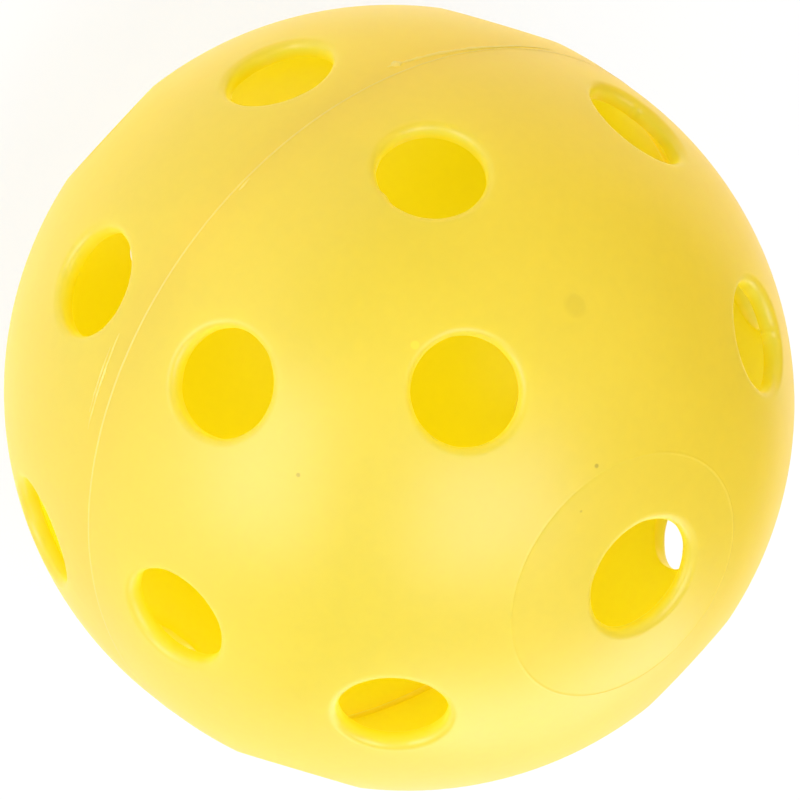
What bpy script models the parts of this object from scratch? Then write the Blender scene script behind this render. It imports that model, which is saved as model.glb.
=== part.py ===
"""Pickleball ball: two moulded half shells full of round holes, and the weld that joins them.

The ball is one thin wall of soft polyethylene. Each half is moulded as a hemisphere with a short
straight skirt under it. The rims of the two skirts are melted and pressed together, and the melt
sets between them as a ring: a fine ridge on the outside and a fat round bead on the inside.

Frame: metres, origin at the centre of the ball, +Z through the polar hole of the upper half, and
the weld in the plane z = 0. Azimuths are degrees from +X towards +Y, and latitudes are degrees
up from the weld plane, both as seen from the middle of a half's own hemisphere.
"""

import math

import bmesh
import bpy
from mathutils import Matrix, Vector

MM = 0.001

# Half shell
EQUATOR_RADIUS = 36.3 * MM
SKIRT_LENGTH = 1.3 * MM
WALL = 1.8 * MM

# Crown that the polar insert of the mould leaves: flatter than the rest, so thinner in the middle
CROWN_REACH = 12.8 * MM
CROWN_RADIUS = 44.0 * MM

# Holes: one at the pole, then two rings, in each half. The upper half's polar hole is wider and a
# little off the pole. For each polar hole: its radius, the distance of the outer face at its lip
# from the hemisphere's middle, and its place by (latitude, azimuth).
HOLE_RADIUS = 5.15 * MM
LIP_RADIUS = 0.4 * MM
POLAR_HOLES = {
    "upper": (5.7 * MM, 35.96 * MM, (88.82, 90.0)),
    "lower": (HOLE_RADIUS, 35.94 * MM, (90.0, 0.0)),
}
UPPER_RING_LATITUDE = 46.5
UPPER_RING_AZIMUTHS = [90.0 * n for n in range(4)]
LOWER_RING_LATITUDE = 15.0
LOWER_RING_AZIMUTHS = [22.5 + 45.0 * n for n in range(8)]

# The holes are not placed perfectly. How far some of them stand off the even layout, in degrees
# of (latitude, azimuth), by half, ring and the hole's even azimuth.
WANDER = {
    ("upper", "upper_ring", 0.0): (0.0, -3.0),
    ("upper", "upper_ring", 180.0): (-0.5, -2.0),
    ("upper", "upper_ring", 270.0): (0.5, 0.0),
    ("upper", "lower_ring", 112.5): (-0.5, -0.5),
    ("upper", "lower_ring", 247.5): (2.5, -1.0),
    ("upper", "lower_ring", 292.5): (0.5, 1.5),
    ("upper", "lower_ring", 337.5): (0.0, -1.5),
    ("lower", "lower_ring", 247.5): (-2.0, 1.5),
    ("lower", "lower_ring", 292.5): (-2.5, 0.5),
    ("lower", "lower_ring", 337.5): (0.0, 1.5),
}

# Weld ring
WELD_HEIGHT = 0.8 * MM
WELD_RIDGE = 0.2 * MM
WELD_BEAD = 0.8 * MM
GAP = 0.3 * MM

# Facets
SEGMENTS = 56
HOLE_SEGMENTS = 24
CROWN_STEPS = 4
OUTER_STEPS = 10
INNER_STEPS = 10
LIP_STEPS = 2
WELD_STEPS = 4

# How far a hole cutter runs past both faces of the wall
CUTTER_MARGIN = 1.5 * MM
# A cutter's lip stops this far short of lying flat on the ball, so that it cuts cleanly
CUTTER_LIP_REST = math.radians(30.0)
# Corners closer than this after the cut are one corner
SLIVER = 0.02 * MM


def remove_scene_objects():
    for obj in list(bpy.data.objects):
        bpy.data.objects.remove(obj, do_unlink=True)


def plastic(name, color):
    material = bpy.data.materials.new(name)
    material.use_nodes = True
    shader = material.node_tree.nodes["Principled BSDF"]
    shader.inputs["Base Color"].default_value = (*color, 1.0)
    shader.inputs["Roughness"].default_value = 0.42
    shader.inputs["Metallic"].default_value = 0.0
    material.diffuse_color = (*color, 1.0)
    return material


def arc(center, radius, start, end, steps):
    """Points (distance from the axis, height) along a circular arc, both ends included."""
    points = []
    for n in range(steps + 1):
        angle = start + (end - start) * n / steps
        points.append((center[0] + radius * math.cos(angle), center[1] + radius * math.sin(angle)))
    return points


def spin_profile(points, closed, segments):
    """A closed solid turned about Z from (distance from the axis, height) points."""
    mesh = bmesh.new()
    verts = [mesh.verts.new((distance, 0.0, height)) for distance, height in points]
    edges = [mesh.edges.new(pair) for pair in zip(verts, verts[1:])]
    if closed:
        edges.append(mesh.edges.new((verts[-1], verts[0])))
    bmesh.ops.spin(
        mesh,
        geom=verts + edges,
        cent=(0.0, 0.0, 0.0),
        axis=(0.0, 0.0, 1.0),
        angle=math.tau,
        steps=segments,
    )
    bmesh.ops.remove_doubles(mesh, verts=mesh.verts, dist=0.001 * MM)
    bmesh.ops.recalc_face_normals(mesh, faces=mesh.faces)
    return mesh


def half_shell_profile():
    """Section of a half without its holes: crown, outer face, skirt, rim and inner face."""
    center = (0.0, SKIRT_LENGTH)
    inner_radius = EQUATOR_RADIUS - WALL
    rim = WELD_HEIGHT / 2 + GAP
    line_height = math.sqrt(EQUATOR_RADIUS**2 - CROWN_REACH**2)
    crown_line_height = math.sqrt(CROWN_RADIUS**2 - CROWN_REACH**2)
    crown_center = (0.0, SKIRT_LENGTH + line_height - crown_line_height)
    crown_edge = math.atan2(crown_line_height, CROWN_REACH)
    crown = arc(crown_center, CROWN_RADIUS, math.pi / 2, crown_edge, CROWN_STEPS)
    outer = arc(center, EQUATOR_RADIUS, math.atan2(line_height, CROWN_REACH), 0.0, OUTER_STEPS)
    skirt = [(EQUATOR_RADIUS, rim), (inner_radius, rim)]
    inner = arc(center, inner_radius, 0.0, math.pi / 2, INNER_STEPS)
    return crown + outer[1:] + skirt + inner


def hole_cutter_profile(radius, face):
    """Section of the plug that cuts a hole with a rounded lip, along the hole's own axis."""
    bottom = EQUATOR_RADIUS - WALL - CUTTER_MARGIN
    top = EQUATOR_RADIUS + CUTTER_MARGIN
    distance = radius + LIP_RADIUS
    center = (distance, math.sqrt((face - LIP_RADIUS) ** 2 - distance**2))
    end_angle = math.atan2(center[1], center[0]) + CUTTER_LIP_REST
    lip = arc(center, LIP_RADIUS, math.pi, end_angle, LIP_STEPS)
    run_out = (
        lip[-1][0] + CUTTER_MARGIN * math.sin(end_angle),
        lip[-1][1] - CUTTER_MARGIN * math.cos(end_angle),
    )
    return [(0.0, bottom), (radius, bottom)] + lip + [run_out, (run_out[0], top), (0.0, top)]


def spread(latitude, azimuth):
    """Unit direction at a latitude and azimuth in degrees."""
    tilt = math.radians(latitude)
    turn = math.radians(azimuth)
    return Vector((math.cos(tilt) * math.cos(turn), math.cos(tilt) * math.sin(turn), math.sin(tilt)))


def hole_places(half):
    """(radius, face, direction) of a half's holes from its hemisphere's middle, with its pole up.

    The lower half is then turned over about X, which turns its azimuths the other way round.
    """
    side = 1.0 if half == "upper" else -1.0
    polar_radius, polar_face, (polar_latitude, polar_azimuth) = POLAR_HOLES[half]
    places = [(polar_radius, polar_face, spread(polar_latitude, side * polar_azimuth))]
    rings = {
        "upper_ring": (UPPER_RING_LATITUDE, UPPER_RING_AZIMUTHS),
        "lower_ring": (LOWER_RING_LATITUDE, LOWER_RING_AZIMUTHS),
    }
    for ring, (latitude, azimuths) in rings.items():
        for azimuth in azimuths:
            up, around = WANDER.get((half, ring, azimuth), (0.0, 0.0))
            direction = spread(latitude + up, side * (azimuth + around))
            places.append((HOLE_RADIUS, EQUATOR_RADIUS, direction))
    return places


def new_object(name, mesh, material=None):
    data = bpy.data.meshes.new(name)
    mesh.to_mesh(data)
    mesh.free()
    obj = bpy.data.objects.new(name, data)
    bpy.context.scene.collection.objects.link(obj)
    if material:
        data.materials.append(material)
    return obj


def hole_cutters(half):
    """One object with a plug for every hole of a half, none of them touching."""
    plugs = bmesh.new()
    for radius, face, direction in hole_places(half):
        plug = spin_profile(hole_cutter_profile(radius, face), closed=False, segments=HOLE_SEGMENTS)
        turn = direction.to_track_quat("Z", "Y").to_matrix().to_4x4()
        place = Matrix.Translation((0.0, 0.0, SKIRT_LENGTH)) @ turn
        bmesh.ops.transform(plug, matrix=place, verts=plug.verts)
        plug_mesh = bpy.data.meshes.new("plug")
        plug.to_mesh(plug_mesh)
        plug.free()
        plugs.from_mesh(plug_mesh)
        bpy.data.meshes.remove(plug_mesh)
    cutters = new_object(half + "_hole_cutters", plugs)
    cutters.hide_render = True
    cutters.display_type = "WIRE"
    return cutters


def shade_round(obj, crease_degrees):
    obj.data.shade_smooth()
    obj.data.set_sharp_from_angle(angle=math.radians(crease_degrees))


def half_shell(half, material):
    """A half with its pole up, cut by its hole plugs."""
    shell = spin_profile(half_shell_profile(), closed=False, segments=SEGMENTS)
    obj = new_object(half + "_half_shell", shell, material)
    shade_round(obj, 40.0)
    cutters = hole_cutters(half)
    cutters.parent = obj
    cut = obj.modifiers.new("holes", "BOOLEAN")
    cut.operation = "DIFFERENCE"
    cut.object = cutters
    tidy = obj.modifiers.new("tidy", "WELD")
    tidy.merge_threshold = SLIVER
    return obj


def turn_over(obj):
    """Mirrors the layout of the holes across the weld plane without mirroring the moulding."""
    obj.rotation_euler = (math.pi, 0.0, 0.0)


def weld_ring(material):
    """The ring of melt between the rims: web, outer ridge and inner bead."""
    half = WELD_HEIGHT / 2
    inner_radius = EQUATOR_RADIUS - WALL
    profile = []
    for n in range(WELD_STEPS + 1):
        angle = math.pi * (n / WELD_STEPS - 0.5)
        profile.append((EQUATOR_RADIUS + WELD_RIDGE * math.cos(angle), half * math.sin(angle)))
    for n in range(WELD_STEPS + 1):
        angle = math.pi * (n / WELD_STEPS + 0.5)
        profile.append((inner_radius + WELD_BEAD * math.cos(angle), half * math.sin(angle)))
    obj = new_object("weld_ring", spin_profile(profile, closed=True, segments=SEGMENTS), material)
    shade_round(obj, 50.0)
    return obj


def main():
    remove_scene_objects()
    shell_plastic = plastic("shell_plastic", (0.88, 0.72, 0.09))
    weld_plastic = plastic("weld_plastic", (0.90, 0.76, 0.16))
    half_shell("upper", shell_plastic)
    turn_over(half_shell("lower", shell_plastic))
    weld_ring(weld_plastic)


main()
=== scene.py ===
"""Looks of the pickleball ball: two translucent yellow half shells and the weld between them.

Frame: metres, origin at the centre of the ball, +Z through the polar hole of the upper half, and
the weld in the plane z = 0. A half is built with its pole up, around the middle of its own
hemisphere, and the lower half is then turned over about X.
"""

import math
import random

import bmesh
import bpy
from mathutils import Matrix, Vector, noise
from mathutils.geometry import delaunay_2d_cdt


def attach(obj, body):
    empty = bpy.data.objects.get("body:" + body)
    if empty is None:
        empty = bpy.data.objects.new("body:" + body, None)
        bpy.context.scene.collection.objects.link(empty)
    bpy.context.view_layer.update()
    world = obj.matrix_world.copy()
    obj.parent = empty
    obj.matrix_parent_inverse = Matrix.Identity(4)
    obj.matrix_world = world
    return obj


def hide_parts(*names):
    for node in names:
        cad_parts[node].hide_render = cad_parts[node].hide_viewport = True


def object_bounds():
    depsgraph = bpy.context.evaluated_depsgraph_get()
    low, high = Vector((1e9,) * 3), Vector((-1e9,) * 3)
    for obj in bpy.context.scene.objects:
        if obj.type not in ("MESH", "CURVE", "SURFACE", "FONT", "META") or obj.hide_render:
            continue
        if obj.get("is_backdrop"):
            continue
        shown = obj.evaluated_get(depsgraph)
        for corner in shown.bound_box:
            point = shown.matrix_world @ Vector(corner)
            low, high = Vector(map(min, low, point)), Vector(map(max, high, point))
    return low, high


MM = 0.001

# Half shell
OUTER_RADIUS = 36.3 * MM
INNER_RADIUS = 34.5 * MM
SKIRT_LENGTH = 1.3 * MM
RIM_HEIGHT = 0.1 * MM
RIM_SEGMENTS = 288
# Where the skirt has rows of points, as shares of its length
SKIRT_ROWS = (0.33, 0.66, 0.9)

# Crown that the polar insert of the mould leaves: flatter than the rest, and a little off the pole.
# The direction of its middle is (latitude, azimuth) in degrees. A fine witness line runs round it.
CROWN_PLACE = (88.24, 9.7)
CROWN_REACH = 12.8 * MM
CROWN_RADIUS = 44.0 * MM
CROWN_TILT = math.asin(CROWN_REACH / OUTER_RADIUS)
CROWN_SEGMENTS = 240
WITNESS_HEIGHT = 0.045 * MM
WITNESS_WIDTH = 0.1 * MM
# Rows of points across the line, and how far the plain face grid keeps away from it
WITNESS_ROWS = [MM * distance for distance in (-0.25, -0.15, -0.07, 0.0, 0.07, 0.15, 0.25)]
WITNESS_CLEARANCE = 0.7 * MM

# Shallow round mark of the ejector pin, by (latitude, azimuth) in degrees on each half
EJECTOR_PLACE = (46.3, 238.5)
EJECTOR_RADIUS = 1.15 * MM
EJECTOR_DEPTH = 0.03 * MM
EJECTOR_EDGE = 0.15 * MM
EJECTOR_SEGMENTS = 40
# Rows of points across the mark's edge, in half widths of that edge
EJECTOR_ROWS = (-1.0, -0.33, 0.33, 1.0)

# Holes: one at the pole, then two rings, in each half
HOLE_RADIUS = 5.15 * MM
LIP_RADIUS = 0.75 * MM
INNER_LIP_RADIUS = 0.15 * MM
# Polar holes by half: radius, round of the inner edge, distance of the outer face at the lip from
# the hemisphere's middle, and place as (latitude, azimuth)
POLAR_HOLES = {
    "upper": (5.7 * MM, 0.6 * MM, 35.96 * MM, (88.82, 90.0)),
    "lower": (4.95 * MM, 0.15 * MM, 35.94 * MM, (90.0, 0.0)),
}
UPPER_RING_LATITUDE = 46.5
UPPER_RING_AZIMUTHS = [90.0 * n for n in range(4)]
LOWER_RING_LATITUDE = 15.0
LOWER_RING_AZIMUTHS = [22.5 + 45.0 * n for n in range(8)]
HOLE_SEGMENTS = 144
LIP_STEPS = 6
WALL_STEPS = 4
INNER_LIP_STEPS = 3
# Rings of points on the face round a hole: (distance out from the lip, number of points)
HOLE_COLLARS = [(0.3 * MM, 120), (0.7 * MM, 80), (1.4 * MM, 56)]
# A hole's edge waves this far off its circle, with these numbers of lobes
HOLE_WAVE = 0.05 * MM
HOLE_LOBES = (2, 3, 5, 9, 14)

# The holes are not placed perfectly. How far some of them stand off the even layout, in degrees
# of (latitude, azimuth), by half, ring and the hole's even azimuth.
WANDER = {
    ("upper", "upper_ring", 0.0): (0.0, -3.0),
    ("upper", "upper_ring", 180.0): (-0.5, -2.0),
    ("upper", "upper_ring", 270.0): (0.5, 0.0),
    ("upper", "lower_ring", 112.5): (-0.5, -0.5),
    ("upper", "lower_ring", 247.5): (2.5, -1.0),
    ("upper", "lower_ring", 292.5): (0.5, 1.5),
    ("upper", "lower_ring", 337.5): (0.0, -1.5),
    ("lower", "lower_ring", 247.5): (-2.0, 1.5),
    ("lower", "lower_ring", 292.5): (-2.5, 0.5),
    ("lower", "lower_ring", 337.5): (0.0, 1.5),
}

# Burrs that stand into some holes, by half and hole: (angle round the hole in degrees from its
# azimuth direction, half width in degrees, height). They grow over this share of the edge's depth.
BURR_FADE = 0.3
BURRS = {
    ("upper", "lower_ring_247.5"): [(-4.5, 6.0, 0.2 * MM)],
    ("upper", "lower_ring_202.5"): [(-132.0, 2.8, 0.16 * MM)],
    ("upper", "upper_ring_180"): [(-141.0, 2.8, 0.16 * MM)],
}

# Face grids
OUTER_SPACING = 1.15 * MM
INNER_SPACING = 1.7 * MM
GOLDEN_ANGLE = math.pi * (3.0 - math.sqrt(5.0))
# The grids stop at these heights above the skirt, as shares of the radius, and this far from a
# loop, as a share of their spacing
OUTER_GRID_START = 0.02
INNER_GRID_START = 0.03
GRID_MARGIN = 0.5
# On the flat map of a face: points closer than this are one, and how far out from a hole's middle,
# as a share of its radius, its loop can reach
MAP_TOLERANCE = 1e-7
LOOP_REACH = 1.1

# Edges sharper than this are shaded sharp
CREASE = math.radians(40.0)

# Weld
WELD_SEGMENTS = 720
WELD_CLEARANCE = 0.01 * MM
WELD_RIDGE = 0.03 * MM
WELD_BEAD = 0.13 * MM
WELD_BEAD_HALF_HEIGHT = 0.35 * MM
RIDGE_STEPS = 4
BEAD_STEPS = 8
# How unevenly the ridge and the bead stand out, as a share and a number of waves
RIDGE_UNEVEN = (0.6, 9.0)
BEAD_UNEVEN = (0.15, 6.0)
BEAD_NOISE_SHIFT = Vector((3.0, 1.0, 7.0))
# Flash smeared over the face beside the weld: its path as (azimuth in degrees, height) points, its
# half width and its thickness, in millimetres
FLASHES = [
    ([(238.0, -1.4), (234.0, -1.1), (226.0, -0.65), (218.0, -0.35), (207.0, -0.7)], 0.22, 0.1),
    ([(237.2, -1.36), (236.3, -1.34), (235.4, -1.28)], 0.4, 0.15),
    ([(296.5, -1.95), (303.0, -1.8), (312.0, -1.75)], 0.1, 0.07),
    ([(299.0, -2.3), (304.0, -2.15), (309.5, -2.1)], 0.09, 0.05),
    ([(266.5, 0.35), (268.0, 0.42), (269.0, 0.38)], 0.12, 0.06),
]
FLASH_STEPS = 90
FLASH_SIDES = 7
# How the flash swells from its blunt ends, how ragged it is and how far it wanders off its path
FLASH_END = 0.02
FLASH_SWELL = 0.6
FLASH_RAGGED_WIDTH = 0.5
FLASH_RAGGED_THICKNESS = 0.7
FLASH_WANDER = 0.05 * MM
# Numbers of waves, for its coarse and fine raggedness and for its wandering
RAGGED_WAVES = (40.0, 110.0)
FINE_SHARE = 0.6
WANDER_WAVES = 25.0

# Plastic: the colour it reflects on its inner face, a deeper copy that is painted shade for the light
# inside the ball, and on its outer face, the colour it lets through, and how rough its face is
INNER_COLOR = (0.205, 0.226, 0.006, 1.0)
SHELL_COLOR = (0.182, 0.266, 0.05, 1.0)
SHELL_THROUGH = (0.752, 0.609, 0.0015, 1.0)
# The weld and its flash: paler, brighter copies of the plastic's colours, painted light that hides the
# shade along the weld and its inner bead and makes the flash streaks look lit
WELD_INNER_COLOR = (0.37, 0.36, 0.03, 1.0)
WELD_COLOR = (0.36, 0.35, 0.14, 1.0)
WELD_THROUGH = (0.62, 0.57, 0.06, 1.0)
ROUGHNESS = (0.37, 0.45)
# The painted shade of the inner face goes over to the outer face's colour between these distances
# above the inner face
SCUFF_START = 0.1 * MM
SCUFF_END = 1.1 * MM
# Clouds and fine mottle in the plastic, and the texture of its face: size as a frequency per
# metre, depth, and detail. The noise is used between the two values of its range.
NOISE_RANGE = (0.3, 0.7)
CLOUD_SCALE = 55.0
CLOUD_DEPTH = 0.012
CLOUD_DETAIL = 2.0
MOTTLE_SCALE = 900.0
MOTTLE_DEPTH = 0.006
MOTTLE_DETAIL = 3.0
TEXTURE_SCALE = 700.0
TEXTURE_HEIGHT = 0.012 * MM
TEXTURE_DETAIL = 2.0

# Marks in the shell: place in millimetres, radius in millimetres, and how bright the mark is.
# Its brightness is full inside the first of these shares of the radius and gone at the second.
MARK_EDGE = (0.6, 1.3)
MARKS = [
    ((-3.58, -12.66, 35.19), 0.22, 0.68),
    ((0.41, -10.79, 36.01), 0.2, 0.66),
    ((15.94, -26.22, 20.78), 0.22, 0.75),
    ((0.13, -29.04, 23.08), 0.42, 1.12),
    ((-14.2, 31.3, -13.1), 0.2, 0.6),
    ((29.4, 19.2, 9.3), 0.22, 0.6),
    ((-27.1, -8.9, -23.2), 0.18, 0.6),
]
EJECTOR_SHADE = 0.93

# Studio: a white floor that glows a little, a dim white surround and soft boxes. Each box:
# (azimuth, elevation, distance from the ball, width, height, power, colour)
FLOOR_RADIUS = 0.6
FLOOR_DROP = 0.03 * MM
FLOOR_GLOW = 0.86
FLOOR_ALBEDO = 0.15
FLOOR_ROUGHNESS = 0.9
FLOOR_SEGMENTS = 96
SURROUND_LIGHT = 0.06
COOL = (0.92, 0.97, 1.2)
WHITE = (1.0, 1.0, 1.0)
WARM = (1.0, 0.92, 0.3)
SOFT_BOXES = {
    "low_key": (318.0, 10.0, 0.6, 0.5, 0.3, 2.45, COOL),
    "top_key": (324.0, 76.0, 0.6, 0.45, 0.45, 2.6, COOL),
    "fill": (205.0, 35.0, 0.7, 0.9, 0.9, 2.3, WARM),
    "back": (68.0, 20.0, 0.6, 0.7, 0.36, 2.5, WHITE),
}

# Camera: looks at the centre of the ball through a very long lens, rolled
CAMERA_DISTANCE = 2.184
CAMERA_DIRECTION = Vector((0.1269, -0.7386, 0.6621))
CAMERA_UP = Vector((-0.7303, -0.5212, -0.4416))
CAMERA_LENS = 1047.5
CAMERA_SENSOR = 36.0
CAMERA_SHIFT = (0.00125, -0.003)
CAMERA_REACH = 10.0

# Light bounces, for the inside of the ball
MAX_BOUNCES = 32
DIFFUSE_BOUNCES = 24
GLOSSY_BOUNCES = 8


def spread(latitude, azimuth):
    """Unit direction at a latitude and azimuth in degrees."""
    tilt, turn = math.radians(latitude), math.radians(azimuth)
    return Vector((math.cos(tilt) * math.cos(turn), math.cos(tilt) * math.sin(turn), math.sin(tilt)))


def side_of(half):
    """Turning the lower half over about X also turns its azimuths the other way round."""
    return 1.0 if half == "upper" else -1.0


def hole_places(half):
    """(name, direction) of a half's holes from the middle of its hemisphere, with its pole up."""
    rings = {
        "upper_ring": (UPPER_RING_LATITUDE, UPPER_RING_AZIMUTHS),
        "lower_ring": (LOWER_RING_LATITUDE, LOWER_RING_AZIMUTHS),
    }
    latitude, azimuth = POLAR_HOLES[half][3]
    places = [("pole", spread(latitude, side_of(half) * azimuth))]
    for ring, (latitude, azimuths) in rings.items():
        for azimuth in azimuths:
            up, around = WANDER.get((half, ring, azimuth), (0.0, 0.0))
            direction = spread(latitude + up, side_of(half) * (azimuth + around))
            places.append((f"{ring}_{azimuth:g}", direction))
    return places


def axes_round(direction, near_pole=0.999):
    """Two unit vectors square to a direction: along the azimuth and towards the pole."""
    level = Vector((0.0, 0.0, 1.0)).cross(direction)
    if direction.z > near_pole:
        level = Vector((1.0, 0.0, 0.0)) - direction * direction.x
    level.normalize()
    return level, direction.cross(level)


def arc(center, radius, start, end, steps):
    """Points (distance from the axis, height) along a circular arc, both ends included."""
    points = []
    for n in range(steps + 1):
        angle = start + (end - start) * n / steps
        points.append((center[0] + radius * math.cos(angle), center[1] + radius * math.sin(angle)))
    return points


class Hole:
    """Section of a hole's edge along its axis, and how far round the hole it stands off a circle."""

    def __init__(self, half, name):
        self.radius, self.inner_lip, self.face_radius = HOLE_RADIUS, INNER_LIP_RADIUS, OUTER_RADIUS
        if name == "pole":
            self.radius, self.inner_lip, self.face_radius = POLAR_HOLES[half][:3]
        self.outer_tilt = math.asin((self.radius + LIP_RADIUS) / (self.face_radius - LIP_RADIUS))
        self.inner_tilt = math.asin((self.radius + self.inner_lip) / (INNER_RADIUS + self.inner_lip))
        self.burrs = BURRS.get((half, name), [])
        generator = random.Random(f"{half} {name}")
        self.waves = []
        for lobes in HOLE_LOBES:
            size = generator.uniform(0.2, 1.0) * HOLE_WAVE / math.sqrt(lobes)
            self.waves.append((lobes, size, generator.uniform(0.0, math.tau)))

    def section(self):
        """Outer lip, wall and inner lip as (distance from the hole's axis, height)."""
        out = self.face_radius - LIP_RADIUS
        lip = (out * math.sin(self.outer_tilt), out * math.cos(self.outer_tilt))
        inside = INNER_RADIUS + self.inner_lip
        inner_lip = (inside * math.sin(self.inner_tilt), inside * math.cos(self.inner_tilt))
        outer_arc = arc(lip, LIP_RADIUS, math.pi / 2 - self.outer_tilt, math.pi, LIP_STEPS)
        end = math.pi * 1.5 - self.inner_tilt
        inner_arc = arc(inner_lip, self.inner_lip, math.pi, end, INNER_LIP_STEPS)
        wall = []
        for n in range(1, WALL_STEPS):
            share = n / WALL_STEPS
            wall.append((self.radius, lip[1] + (inner_lip[1] - lip[1]) * share))
        return outer_arc + wall + inner_arc

    def offset(self, turn, depth):
        """How far the edge stands out from its circle, by angle round it and depth from 0 to 1."""
        out = sum(size * math.cos(lobes * turn + phase) for lobes, size, phase in self.waves)
        for place, half_width, height in self.burrs:
            away = (math.degrees(turn) - place + 180.0) % 360.0 - 180.0
            out -= height * math.exp(-((away / half_width) ** 2)) * smooth_step(depth, 0.0, BURR_FADE)
        return out


def flatten(direction):
    """Stereographic map of the upper hemisphere onto the unit disc."""
    return Vector((direction.x, direction.y)) / (1.0 + direction.z)


def fibonacci_directions(spacing, radius):
    """Directions spread evenly over the upper hemisphere, about `spacing` apart on the sphere."""
    count = int(math.tau * radius**2 / (spacing**2 * math.sqrt(3.0) / 2.0))
    for n in range(count):
        height = (n + 0.5) / count
        level = math.sqrt(1.0 - height**2)
        yield Vector((level * math.cos(n * GOLDEN_ANGLE), level * math.sin(n * GOLDEN_ANGLE), height))


class Face:
    """One face of a half: points on a sphere, joined by a triangulation that keeps its loops."""

    def __init__(self, mesh):
        self.mesh = mesh
        self.holes = []
        self.verts = []
        self.points = []
        self.edges = []
        self.blocked = []

    def add(self, direction, vert):
        self.points.append(flatten(direction))
        self.verts.append(vert)

    def add_loop(self, directions, verts):
        first = len(self.points)
        for direction, vert in zip(directions, verts):
            self.add(direction, vert)
        count = len(verts)
        self.edges += [(first + n, first + (n + 1) % count) for n in range(count)]

    def add_hole(self, direction, tilt, verts):
        """A loop round a hole, inside which there is no face."""
        places = [vert.co.normalized() for vert in verts]
        self.add_loop(places, verts)
        center, reach = disc_on_map(direction, tilt)
        self.holes.append((center, reach * LOOP_REACH, [flatten(place) for place in places]))
        self.blocked.append((direction, tilt))

    def is_clear(self, direction, margin):
        for center, reach in self.blocked:
            if direction.angle(center) < reach + margin:
                return False
        return True

    def is_in_hole(self, point):
        for center, reach, loop in self.holes:
            if (point - center).length < reach:
                return is_inside(point, loop)
        return False

    def fill(self, outward):
        result = delaunay_2d_cdt(self.points, self.edges, [], 0, MAP_TOLERANCE)
        origins = [origin[0] for origin in result[3]]
        for face in result[2]:
            corners = [self.verts[origins[n]] for n in face]
            if self.is_in_hole(sum((self.points[origins[n]] for n in face), Vector((0.0, 0.0))) / 3.0):
                continue
            if not outward:
                corners.reverse()
            self.mesh.faces.new(corners)


def is_inside(point, loop):
    """True if a point is inside a closed loop of points."""
    inside = False
    for first, second in zip(loop, loop[1:] + loop[:1]):
        if (first.y > point.y) != (second.y > point.y):
            share = (point.y - first.y) / (second.y - first.y)
            if point.x < first.x + (second.x - first.x) * share:
                inside = not inside
    return inside


def disc_on_map(direction, tilt):
    """(centre, radius) on the flat map of a circle on the sphere."""
    level = Vector((direction.x, direction.y, 0.0))
    axis = level.normalized() if level.length > 1e-6 else Vector((1.0, 0.0, 0.0))
    height = math.asin(max(-1.0, min(1.0, direction.z)))
    near = math.tan((math.pi / 2 - height - tilt) / 2)
    far = math.tan((math.pi / 2 - height + tilt) / 2)
    center = axis * (near + far) / 2
    return Vector((center.x, center.y)), (far - near) / 2


def smooth_step(value, low, high):
    share = max(0.0, min(1.0, (value - low) / (high - low)))
    return share * share * (3.0 - 2.0 * share)


def outer_face_radius(direction, crown, ejector):
    """Radius of the outer face in a direction: flat crown, witness line round it, then the rest."""
    tilt = direction.angle(crown)
    radius = OUTER_RADIUS
    if tilt < CROWN_TILT:
        shift = OUTER_RADIUS * math.cos(CROWN_TILT) - math.sqrt(CROWN_RADIUS**2 - CROWN_REACH**2)
        level = shift * math.cos(tilt)
        radius = level + math.sqrt(level**2 - shift**2 + CROWN_RADIUS**2)
    from_line = (tilt - CROWN_TILT) * OUTER_RADIUS
    radius += WITNESS_HEIGHT * math.exp(-((from_line / WITNESS_WIDTH) ** 2))
    from_ejector = direction.angle(ejector) * OUTER_RADIUS
    low, high = EJECTOR_RADIUS - EJECTOR_EDGE, EJECTOR_RADIUS + EJECTOR_EDGE
    return radius - EJECTOR_DEPTH * (1.0 - smooth_step(from_ejector, low, high))


def ring_directions(center, tilt, count):
    level, up = axes_round(center)
    for n in range(count):
        turn = math.tau * n / count
        sideways = level * math.cos(turn) + up * math.sin(turn)
        yield center * math.cos(tilt) + sideways * math.sin(tilt)


def bridge(mesh, first, second):
    """Quads between two loops with the same number of points."""
    count = len(first)
    for n in range(count):
        after = (n + 1) % count
        mesh.faces.new((first[n], first[after], second[after], second[n]))


def hole_edge(mesh, direction, hole, face):
    """Lip, wall and inner lip of a hole. Returns its first and last loops, on the two faces."""
    level, up = axes_round(direction)
    loops = []
    section = hole.section()
    for step, (distance, height) in enumerate(section):
        depth = step / (len(section) - 1)
        loop = []
        for n in range(HOLE_SEGMENTS):
            turn = math.tau * n / HOLE_SEGMENTS
            sideways = level * math.cos(turn) + up * math.sin(turn)
            reach = distance + hole.offset(turn, depth)
            loop.append(mesh.verts.new(direction * height + sideways * reach))
        loops.append(loop)
    for vert in loops[0]:
        vert.co *= face(vert.co.normalized()) / vert.co.length
    for vert in loops[-1]:
        vert.co *= INNER_RADIUS / vert.co.length
    for first, second in zip(loops, loops[1:]):
        bridge(mesh, first, second)
    return loops[0], loops[-1]


def rim_section():
    """Section of a half's rim, from the outer face round to the inner: skirt, edge and inside."""
    edge = RIM_HEIGHT - SKIRT_LENGTH
    outer = [(OUTER_RADIUS, edge * share) for share in SKIRT_ROWS]
    inner = [(INNER_RADIUS, edge * share) for share in reversed(SKIRT_ROWS[:2])]
    return outer + [(OUTER_RADIUS, edge), (INNER_RADIUS, edge)] + inner


def level_loop(mesh, distance, height, count):
    loop = []
    for n in range(count):
        turn = math.tau * n / count
        loop.append(mesh.verts.new((distance * math.cos(turn), distance * math.sin(turn), height)))
    return loop


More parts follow.
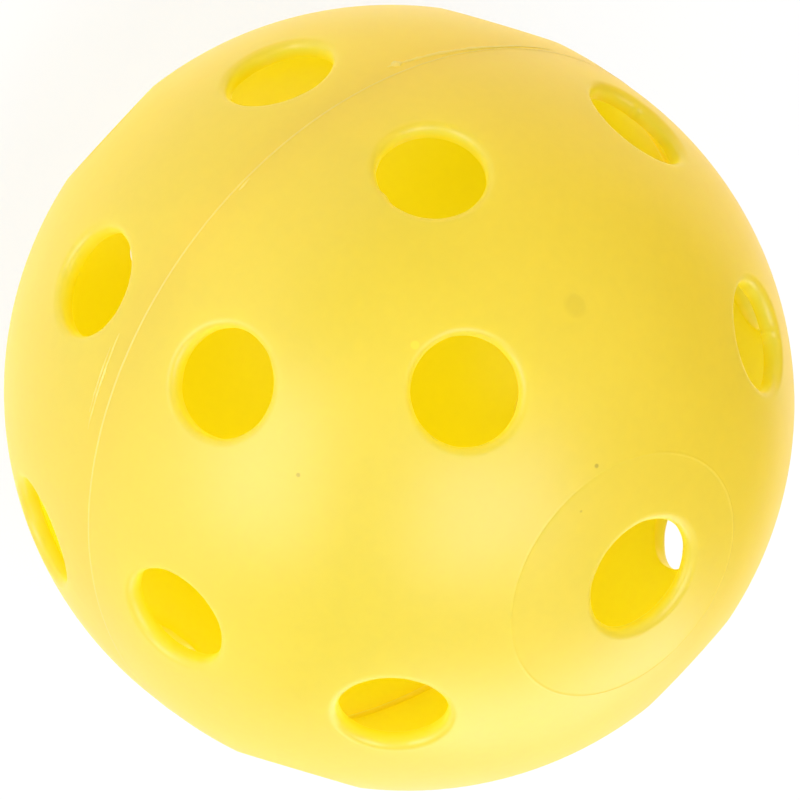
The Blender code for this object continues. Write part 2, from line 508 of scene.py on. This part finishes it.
def half_shell_mesh(half):
    mesh = bmesh.new()
    ejector = spread(EJECTOR_PLACE[0], side_of(half) * EJECTOR_PLACE[1])
    crown = spread(CROWN_PLACE[0], side_of(half) * CROWN_PLACE[1])

    def face(direction):
        return outer_face_radius(direction, crown, ejector)

    outer, inner = Face(mesh), Face(mesh)
    for name, direction in hole_places(half):
        hole = Hole(half, name)
        first, last = hole_edge(mesh, direction, hole, face)
        outer.add_hole(direction, hole.outer_tilt, first)
        inner.add_hole(direction, hole.inner_tilt, last)
        for distance, count in HOLE_COLLARS:
            for place in ring_directions(direction, hole.outer_tilt + distance / OUTER_RADIUS, count):
                outer.add(place, mesh.verts.new(place * face(place)))
        outer.blocked.append((direction, hole.outer_tilt + HOLE_COLLARS[-1][0] / OUTER_RADIUS))
    for distance in WITNESS_ROWS:
        tilt = CROWN_TILT + distance / OUTER_RADIUS
        places = list(ring_directions(crown, tilt, CROWN_SEGMENTS))
        outer.add_loop(places, [mesh.verts.new(place * face(place)) for place in places])
    for distance in EJECTOR_ROWS:
        tilt = (EJECTOR_RADIUS + distance * EJECTOR_EDGE) / OUTER_RADIUS
        places = list(ring_directions(ejector, tilt, EJECTOR_SEGMENTS))
        outer.add_loop(places, [mesh.verts.new(place * face(place)) for place in places])
    clear_of_line = WITNESS_CLEARANCE / OUTER_RADIUS
    outer.blocked.append((ejector, (EJECTOR_RADIUS + EJECTOR_EDGE) / OUTER_RADIUS))
    for direction in fibonacci_directions(OUTER_SPACING, OUTER_RADIUS):
        if direction.z < OUTER_GRID_START:
            continue
        if not outer.is_clear(direction, GRID_MARGIN * OUTER_SPACING / OUTER_RADIUS):
            continue
        if abs(direction.angle(crown) - CROWN_TILT) < clear_of_line:
            continue
        outer.add(direction, mesh.verts.new(direction * face(direction)))
    for direction in fibonacci_directions(INNER_SPACING, INNER_RADIUS):
        if direction.z < INNER_GRID_START:
            continue
        if not inner.is_clear(direction, GRID_MARGIN * INNER_SPACING / INNER_RADIUS):
            continue
        inner.add(direction, mesh.verts.new(direction * INNER_RADIUS))
    outer_loop = level_loop(mesh, OUTER_RADIUS, 0.0, RIM_SEGMENTS)
    inner_loop = level_loop(mesh, INNER_RADIUS, 0.0, RIM_SEGMENTS)
    outer.add_loop([vert.co.normalized() for vert in outer_loop], outer_loop)
    inner.add_loop([vert.co.normalized() for vert in inner_loop], inner_loop)
    loops = [outer_loop]
    for distance, height in rim_section():
        loops.append(level_loop(mesh, distance, height, RIM_SEGMENTS))
    loops.append(inner_loop)
    for first, second in zip(loops, loops[1:]):
        bridge(mesh, first, second)
    outer.fill(outward=True)
    inner.fill(outward=False)
    bmesh.ops.recalc_face_normals(mesh, faces=mesh.faces)
    bmesh.ops.translate(mesh, vec=(0.0, 0.0, SKIRT_LENGTH), verts=mesh.verts)
    if half == "lower":
        turn_over = Matrix.Rotation(math.pi, 4, "X")
        bmesh.ops.transform(mesh, matrix=turn_over, verts=mesh.verts)
    return mesh


def new_piece(name, mesh, material, node):
    data = bpy.data.meshes.new(name)
    mesh.to_mesh(data)
    mesh.free()
    data.shade_smooth()
    data.set_sharp_from_angle(angle=CREASE)
    data.materials.append(material)
    obj = bpy.data.objects.new(name, data)
    bpy.context.scene.collection.objects.link(obj)
    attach(obj, "root")
    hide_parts(node)
    return obj


def weld_section(ridge, bead):
    """Section of the weld: outer ridge, thin web between the rims, and the bead on the inner face."""
    web = RIM_HEIGHT - WELD_CLEARANCE
    inner = INNER_RADIUS - WELD_CLEARANCE
    section = []
    for step in range(RIDGE_STEPS + 1):
        angle = math.pi * (step / RIDGE_STEPS - 0.5)
        section.append((OUTER_RADIUS + ridge * math.cos(angle), web * math.sin(angle)))
    section.append((inner, web))
    for step in range(BEAD_STEPS + 1):
        angle = math.pi * (step / BEAD_STEPS + 0.5)
        section.append((inner + bead * math.cos(angle), WELD_BEAD_HALF_HEIGHT * math.sin(angle)))
    section.append((inner, -web))
    return section


def weld_mesh():
    """The melt between the rims, and the flash it left on the face."""
    mesh = bmesh.new()
    loops = []
    for n in range(WELD_SEGMENTS):
        turn = math.tau * n / WELD_SEGMENTS
        around = Vector((math.cos(turn), math.sin(turn), 0.0))
        share, waves = RIDGE_UNEVEN
        ridge = WELD_RIDGE * (1.0 + share * noise.noise(around * waves))
        share, waves = BEAD_UNEVEN
        bead = WELD_BEAD * (1.0 + share * noise.noise(around * waves + BEAD_NOISE_SHIFT))
        section = weld_section(ridge, bead)
        loops.append([mesh.verts.new(around * r + Vector((0.0, 0.0, z))) for r, z in section])
    for n in range(WELD_SEGMENTS):
        bridge(mesh, loops[n], loops[(n + 1) % WELD_SEGMENTS])
    for path, half_width, thickness in FLASHES:
        flash(mesh, path, half_width * MM, thickness * MM)
    bmesh.ops.recalc_face_normals(mesh, faces=mesh.faces)
    return mesh


def path_point(path, share):
    """(azimuth, height) at a share of the way along a path of points."""
    place = share * (len(path) - 1)
    n = min(int(place), len(path) - 2)
    part = place - n
    return [a + (b - a) * part for a, b in zip(path[n], path[n + 1])]


def flash(mesh, path, half_width, thickness):
    """A low uneven ribbon of flash lying on the outer face, drawn thin at both ends."""
    loops = []
    for n in range(FLASH_STEPS + 1):
        share = n / FLASH_STEPS
        azimuth, height = path_point(path, share)
        turn = math.radians(azimuth)
        around = Vector((math.cos(turn), math.sin(turn), 0.0))
        coarse, fine = [noise.noise(around * waves) for waves in RAGGED_WAVES]
        uneven = coarse + FINE_SHARE * fine
        swell = math.sin(math.pi * (FLASH_END + (1.0 - 2.0 * FLASH_END) * share)) ** FLASH_SWELL
        wide = half_width * swell * (1.0 + FLASH_RAGGED_WIDTH * uneven)
        thick = thickness * swell * (1.0 + FLASH_RAGGED_THICKNESS * uneven)
        middle = height * MM + FLASH_WANDER * noise.noise(around * WANDER_WAVES)
        loop = []
        for step in range(FLASH_SIDES + 1):
            angle = math.pi * step / FLASH_SIDES
            z = middle + wide * math.cos(angle)
            beyond = max(0.0, abs(z) - SKIRT_LENGTH)
            face = math.sqrt(OUTER_RADIUS**2 - beyond**2) + WELD_CLEARANCE
            reach = face + thick * math.sin(angle)
            loop.append(mesh.verts.new(around * reach + Vector((0.0, 0.0, z))))
        loops.append(loop)
    for first, second in zip(loops, loops[1:]):
        bridge(mesh, first, second)
    mesh.faces.new(loops[0])
    mesh.faces.new(loops[-1])


def math_node(tree, operation, first, second):
    """A Math node of two values, each a socket or a number."""
    node = tree.nodes.new("ShaderNodeMath")
    node.operation = operation
    for socket, value in zip(node.inputs, (first, second)):
        if isinstance(value, (int, float)):
            socket.default_value = value
        else:
            tree.links.new(value, socket)
    return node.outputs[0]


def ramp_node(tree, value, low, high, start, end):
    """A smooth change from `start` to `end` while the value goes from `low` to `high`."""
    node = tree.nodes.new("ShaderNodeMapRange")
    node.interpolation_type = "SMOOTHSTEP"
    tree.links.new(value, node.inputs["Value"])
    node.inputs["From Min"].default_value = low
    node.inputs["From Max"].default_value = high
    node.inputs["To Min"].default_value = start
    node.inputs["To Max"].default_value = end
    return node.outputs[0]


def noise_node(tree, place, scale, detail):
    node = tree.nodes.new("ShaderNodeTexNoise")
    tree.links.new(place, node.inputs["Vector"])
    node.inputs["Scale"].default_value = scale
    node.inputs["Detail"].default_value = detail
    return node.outputs["Fac"]


def mark(tree, place, center, radius, brightness):
    """`brightness` within a radius of a point, and 1 elsewhere."""
    away = tree.nodes.new("ShaderNodeVectorMath")
    away.operation = "DISTANCE"
    tree.links.new(place, away.inputs[0])
    away.inputs[1].default_value = center
    low, high = [share * radius for share in MARK_EDGE]
    return ramp_node(tree, away.outputs["Value"], low, high, brightness, 1.0)


def shade(tree, color, brightness, target):
    """Feeds a colour, or a colour socket, to a target socket, times a varying brightness."""
    node = tree.nodes.new("ShaderNodeHueSaturation")
    if isinstance(color, tuple):
        node.inputs["Color"].default_value = color
    else:
        tree.links.new(color, node.inputs["Color"])
    tree.links.new(brightness, node.inputs["Value"])
    tree.links.new(node.outputs[0], target)


def scuffed_color(tree, place, inner_color, outer_color):
    """Painted shade: the deeper inner colour at the inner face, going over to the outer colour through
    the wall.
    """
    split = tree.nodes.new("ShaderNodeSeparateXYZ")
    tree.links.new(place, split.inputs[0])
    height = math_node(tree, "ABSOLUTE", split.outputs["Z"], 0.0)
    height = math_node(tree, "SUBTRACT", height, SKIRT_LENGTH)
    join = tree.nodes.new("ShaderNodeCombineXYZ")
    tree.links.new(split.outputs["X"], join.inputs["X"])
    tree.links.new(split.outputs["Y"], join.inputs["Y"])
    tree.links.new(math_node(tree, "MAXIMUM", height, 0.0), join.inputs["Z"])
    away = tree.nodes.new("ShaderNodeVectorMath")
    away.operation = "LENGTH"
    tree.links.new(join.outputs[0], away.inputs[0])
    mix = tree.nodes.new("ShaderNodeMix")
    mix.data_type = "RGBA"
    start, end = INNER_RADIUS + SCUFF_START, INNER_RADIUS + SCUFF_END
    tree.links.new(ramp_node(tree, away.outputs["Value"], start, end, 0.0, 1.0), mix.inputs[0])
    color_inputs = [socket for socket in mix.inputs if socket.type == "RGBA"]
    color_inputs[0].default_value = inner_color
    color_inputs[1].default_value = outer_color
    return next(socket for socket in mix.outputs if socket.type == "RGBA")


def polyethylene(name, inner_color, color, through_color, marks):
    """Satin plastic that lets most of the light that falls on it through, well spread."""
    material = bpy.data.materials.new(name)
    material.use_nodes = True
    tree = material.node_tree
    place = tree.nodes.new("ShaderNodeTexCoord").outputs["Object"]
    cloud = noise_node(tree, place, CLOUD_SCALE, CLOUD_DETAIL)
    mottle = noise_node(tree, place, MOTTLE_SCALE, MOTTLE_DETAIL)
    brightness = ramp_node(tree, cloud, *NOISE_RANGE, 1.0 - CLOUD_DEPTH, 1.0 + CLOUD_DEPTH)
    fine = ramp_node(tree, mottle, *NOISE_RANGE, 1.0 - MOTTLE_DEPTH, 1.0 + MOTTLE_DEPTH)
    brightness = math_node(tree, "MULTIPLY", brightness, fine)
    for center, radius, strength in marks:
        spot = mark(tree, place, center, radius, strength)
        brightness = math_node(tree, "MULTIPLY", brightness, spot)
    shader = tree.nodes["Principled BSDF"]
    # Painted shade: the inner face and the hole walls take a deeper colour than the outer face
    face_color = scuffed_color(tree, place, inner_color, color)
    shade(tree, face_color, brightness, shader.inputs["Base Color"])
    tree.links.new(ramp_node(tree, cloud, *NOISE_RANGE, *ROUGHNESS), shader.inputs["Roughness"])
    through = tree.nodes.new("ShaderNodeBsdfTranslucent")
    shade(tree, through_color, brightness, through.inputs["Color"])
    texture = tree.nodes.new("ShaderNodeBump")
    texture.inputs["Distance"].default_value = TEXTURE_HEIGHT
    bumps = noise_node(tree, place, TEXTURE_SCALE, TEXTURE_DETAIL)
    tree.links.new(bumps, texture.inputs["Height"])
    tree.links.new(texture.outputs[0], shader.inputs["Normal"])
    both = tree.nodes.new("ShaderNodeAddShader")
    tree.links.new(shader.outputs[0], both.inputs[0])
    tree.links.new(through.outputs[0], both.inputs[1])
    tree.links.new(both.outputs[0], tree.nodes["Material Output"].inputs["Surface"])
    return material


def shell_plastic():
    marks = [([MM * part for part in center], MM * radius, shine) for center, radius, shine in MARKS]
    for side in (1.0, -1.0):
        center = spread(EJECTOR_PLACE[0], EJECTOR_PLACE[1]) * OUTER_RADIUS
        center.z = side * (center.z + SKIRT_LENGTH)
        marks.append((center, EJECTOR_RADIUS, EJECTOR_SHADE))
    return polyethylene("shell_plastic", INNER_COLOR, SHELL_COLOR, SHELL_THROUGH, marks)


# Painted light: paler, brighter copies of the plastic's colours on the weld and its flash
def weld_plastic():
    return polyethylene("weld_plastic", WELD_INNER_COLOR, WELD_COLOR, WELD_THROUGH, [])


def floor_paint():
    """White paint with a little light of its own. The floor's underside is not there to be seen."""
    material = bpy.data.materials.new("floor_paint")
    material.use_nodes = True
    tree = material.node_tree
    shader = tree.nodes["Principled BSDF"]
    shader.inputs["Base Color"].default_value = (FLOOR_ALBEDO, FLOOR_ALBEDO, FLOOR_ALBEDO, 1.0)
    shader.inputs["Roughness"].default_value = FLOOR_ROUGHNESS
    shader.inputs["Specular IOR Level"].default_value = 0.0
    shader.inputs["Emission Color"].default_value = (1.0, 1.0, 1.0, 1.0)
    shader.inputs["Emission Strength"].default_value = FLOOR_GLOW
    geometry = tree.nodes.new("ShaderNodeNewGeometry")
    clear = tree.nodes.new("ShaderNodeBsdfTransparent")
    mix = tree.nodes.new("ShaderNodeMixShader")
    tree.links.new(geometry.outputs["Backfacing"], mix.inputs[0])
    tree.links.new(shader.outputs[0], mix.inputs[1])
    tree.links.new(clear.outputs[0], mix.inputs[2])
    tree.links.new(mix.outputs[0], tree.nodes["Material Output"].inputs["Surface"])
    return material


def floor_plane(bottom):
    mesh = bmesh.new()
    bmesh.ops.create_circle(mesh, cap_ends=True, segments=FLOOR_SEGMENTS, radius=FLOOR_RADIUS)
    bmesh.ops.translate(mesh, vec=(0.0, 0.0, bottom - FLOOR_DROP), verts=mesh.verts)
    data = bpy.data.meshes.new("floor")
    mesh.to_mesh(data)
    mesh.free()
    data.materials.append(floor_paint())
    floor = bpy.data.objects.new("floor", data)
    bpy.context.scene.collection.objects.link(floor)
    floor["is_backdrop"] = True


def soft_box(name, azimuth, elevation, distance, width, height, power, color):
    light = bpy.data.lights.new(name, "AREA")
    light.shape = "RECTANGLE"
    light.size = width
    light.size_y = height
    light.energy = power
    light.color = color
    obj = bpy.data.objects.new(name, light)
    bpy.context.scene.collection.objects.link(obj)
    direction = spread(elevation, azimuth)
    obj.location = direction * distance
    obj.rotation_mode = "QUATERNION"
    obj.rotation_quaternion = direction.to_track_quat("Z", "Y")
    obj.visible_camera = False


def camera():
    data = bpy.data.cameras.new("camera")
    data.lens = CAMERA_LENS
    data.sensor_width = CAMERA_SENSOR
    data.shift_x, data.shift_y = CAMERA_SHIFT
    data.clip_end = CAMERA_REACH
    obj = bpy.data.objects.new("camera", data)
    bpy.context.scene.collection.objects.link(obj)
    back = CAMERA_DIRECTION.normalized()
    right = CAMERA_UP.cross(back).normalized()
    up = back.cross(right)
    turn = Matrix((right, up, back)).transposed().to_4x4()
    obj.matrix_world = Matrix.Translation(back * CAMERA_DISTANCE) @ turn
    bpy.context.scene.camera = obj


def surround():
    """A white room that the camera sees, and that lights the ball only dimly."""
    world = bpy.data.worlds.new("studio")
    world.use_nodes = True
    tree = world.node_tree
    dim = tree.nodes["Background"]
    dim.inputs["Color"].default_value = (1.0, 1.0, 1.0, 1.0)
    dim.inputs["Strength"].default_value = SURROUND_LIGHT
    bright = tree.nodes.new("ShaderNodeBackground")
    bright.inputs["Color"].default_value = (1.0, 1.0, 1.0, 1.0)
    path = tree.nodes.new("ShaderNodeLightPath")
    mix = tree.nodes.new("ShaderNodeMixShader")
    tree.links.new(path.outputs["Is Camera Ray"], mix.inputs[0])
    tree.links.new(dim.outputs[0], mix.inputs[1])
    tree.links.new(bright.outputs[0], mix.inputs[2])
    tree.links.new(mix.outputs[0], tree.nodes["World Output"].inputs["Surface"])
    bpy.context.scene.world = world


def main(bottom):
    plastic = shell_plastic()
    for half in ("upper", "lower"):
        new_piece(half + "_shell", half_shell_mesh(half), plastic, half + "_half_shell")
    new_piece("weld", weld_mesh(), weld_plastic(), "weld_ring")
    floor_plane(bottom)
    surround()
    for name, box in SOFT_BOXES.items():
        soft_box(name, *box)
    camera()
    bpy.context.scene.view_settings.view_transform = "Standard"
    bpy.context.scene.cycles.diffuse_bounces = DIFFUSE_BOUNCES
    bpy.context.scene.cycles.max_bounces = MAX_BOUNCES
    bpy.context.scene.cycles.glossy_bounces = GLOSSY_BOUNCES


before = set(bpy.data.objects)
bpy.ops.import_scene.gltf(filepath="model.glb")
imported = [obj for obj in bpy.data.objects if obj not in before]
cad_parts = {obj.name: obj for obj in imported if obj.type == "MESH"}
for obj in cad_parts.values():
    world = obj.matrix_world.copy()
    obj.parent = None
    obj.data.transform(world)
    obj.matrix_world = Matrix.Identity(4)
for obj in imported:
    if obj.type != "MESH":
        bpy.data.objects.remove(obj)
cad_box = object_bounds()
main(cad_box[0][2])
boxes = {"cad": cad_box, "visual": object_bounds()}
{name: [list(corner) for corner in box] for name, box in boxes.items()}
